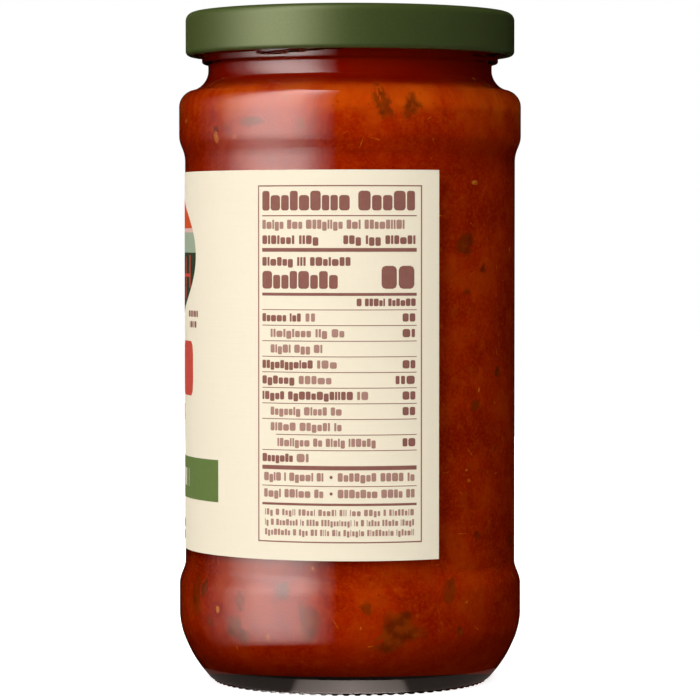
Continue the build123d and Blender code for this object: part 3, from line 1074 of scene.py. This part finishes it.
# %% Softbox seen in the gloss
SOFTBOX_MIDDLE, SOFTBOX_START, SOFTBOX_SWEEP = -65, -125, 117
SOFTBOX_LOW, SOFTBOX_TOP = -0.45, 0.55
SOFTBOX_STRENGTH = 7.8
SOFTBOX_TINT = (1, 0.93, 0.88)
SWEEP_STOPS = [
    (0.345, 0.0), (0.375, 0.02), (0.422, 0.105), (0.463, 0.47), (0.499, 0.85), (0.534, 1.0),
    (0.581, 0.88), (0.596, 0.69), (0.626, 0.22), (0.655, 0.0)]
RISE_STOPS = [(0.06, 0.0), (0.12, 0.25), (0.17, 0.48), (0.30, 0.66), (0.42, 0.80), (0.65, 1.0)]

softbox_cloth, tree, output, place = new_material("softbox_cloth")
turned = add_node(tree, "Mapping", {
    "Vector": place, "Rotation": (0, 0, radians(90 - SOFTBOX_MIDDLE))})
sweep = add_node(tree, "TexGradient", {"Vector": turned.outputs[0]}, gradient_type="RADIAL")
glow = ramp(tree, sweep.outputs["Fac"], [
    (at, tuple(share * tint for tint in SOFTBOX_TINT)) for at, share in SWEEP_STOPS])
height = add_node(tree, "SeparateXYZ", {0: place}).outputs["Z"]
rise = ramp(tree, stretch(tree, height, SOFTBOX_LOW, SOFTBOX_TOP), [
    (level, (share,) * 3) for level, share in RISE_STOPS])
seen = sums(tree, "MULTIPLY", seen_directly(tree), rise)
lamp = add_node(tree, "Emission", {
    "Color": glow, "Strength": sums(tree, "MULTIPLY", seen, SOFTBOX_STRENGTH)})
tree.links.new(lamp.outputs[0], output.inputs["Surface"])
bm = bmesh.new()
points = [
    bm.verts.new((x, 0, z)) for x, z in ((0.62, SOFTBOX_LOW), (0.62, 0.60), (0.27, 0.97))]
for a, b in zip(points, points[1:]):
    bm.edges.new((a, b))
bmesh.ops.rotate(
    bm, verts=bm.verts, cent=(0, 0, 0),
    matrix=Matrix.Rotation(radians(SOFTBOX_START - 90), 3, "Z"))
spin_about(bm, 40, radians(SOFTBOX_SWEEP))
softbox = stage_piece("softbox", bm, softbox_cloth)

# %% [markdown]
# The thick bottom of the glass gathers light from the table round it. A flat ring that only
# gloss sees gives that grey, strongest in the middle and less to both sides.

# %% Glow on the table round the foot
GLOW_IN, GLOW_OUT = 0.0305, 0.0342
GLOW_STRENGTH = 3.6

table_glow, tree, output, place = new_material("table_glow")
off_middle = sums(tree, "ABSOLUTE", add_node(tree, "SeparateXYZ", {0: place}).outputs["X"])
glow = ramp(tree, stretch(tree, off_middle, 0.0, 0.04), [
    (0.0, (1.0, 0.82, 0.74)), (0.29, (0.50, 0.41, 0.37)), (0.33, (0.07, 0.055, 0.05)),
    (0.9, (0.015, 0.012, 0.010))])
lamp = add_node(tree, "Emission", {
    "Color": glow, "Strength": sums(tree, "MULTIPLY", seen_directly(tree), GLOW_STRENGTH)})
tree.links.new(lamp.outputs[0], output.inputs["Surface"])
bm = bmesh.new()
ends = [bm.verts.new((r, 0, 0.0006)) for r in (GLOW_IN, GLOW_OUT)]
bm.edges.new(ends)
spin_about(bm, 96)
foot_glow = stage_piece("foot_glow", bm, table_glow)
foot_glow.visible_transmission = False
for thing in (drum, softbox, foot_glow):
    thing.visible_camera = False
    thing.visible_diffuse = False
    thing.visible_shadow = False
    print(thing.name, "is seen only by way of the jar")

# %% [markdown]
# Four soft lamps light the surfaces: one in front on the left, a weak one on the right, one
# above and one behind, so that the back isn't dull. They aren't mirrored in the glass.

# %% Lamps
AIM = 0.07


def area_lamp(name, angle, distance, height, size, watts):
    """A square lamp at this azimuth that lights surfaces but isn't mirrored in them."""
    data = bpy.data.lights.new(name, "AREA")
    data.shape = "SQUARE"
    data.size = size
    data.energy = watts
    data.cycles.use_multiple_importance_sampling = False
    thing = bpy.data.objects.new(name, data)
    bpy.context.scene.collection.objects.link(thing)
    phi = radians(angle)
    thing.location = (distance * sin(phi), -distance * cos(phi), height)
    aimed = Vector((0, 0, AIM)) - thing.location
    thing.rotation_euler = aimed.to_track_quat("-Z", "Y").to_euler()
    thing.visible_camera = False
    thing.visible_glossy = False
    thing.visible_transmission = False
    print(name, "lamp", watts, "W")


area_lamp("key", -31, 0.9, 0.20, 0.7, 5.9)
area_lamp("fill", 50, 0.9, 0.30, 0.5, 0.15)
area_lamp("top", -10, 0.25, 1.0, 0.6, 6.5)
area_lamp("back", 180, 0.9, 0.20, 0.6, 3.4)

# %% [markdown]
# The world is white where it is seen, and lights the jar evenly at about a third of that.

# %% World
EVEN_LIGHT = 0.35

world = bpy.data.worlds.new("studio")
bpy.context.scene.world = world
world.use_nodes = True
tree = world.node_tree
tree.nodes.clear()
strength = stretch(tree, seen_directly(tree), 0.0, 1.0, EVEN_LIGHT, 1.0)
sky = add_node(tree, "Background", {"Color": (1, 1, 1, 1), "Strength": strength})
out = add_node(tree, "OutputWorld")
tree.links.new(sky.outputs[0], out.inputs["Surface"])
bpy.context.scene.view_settings.view_transform = "Standard"

# %% [markdown]
# ## The finished size
#
# The last cell prints the size of the box that the finished model fills.

# %% Size of the finished model
low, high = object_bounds()
print("visual box", [round(v / MM, 2) for v in high - low], "mm")
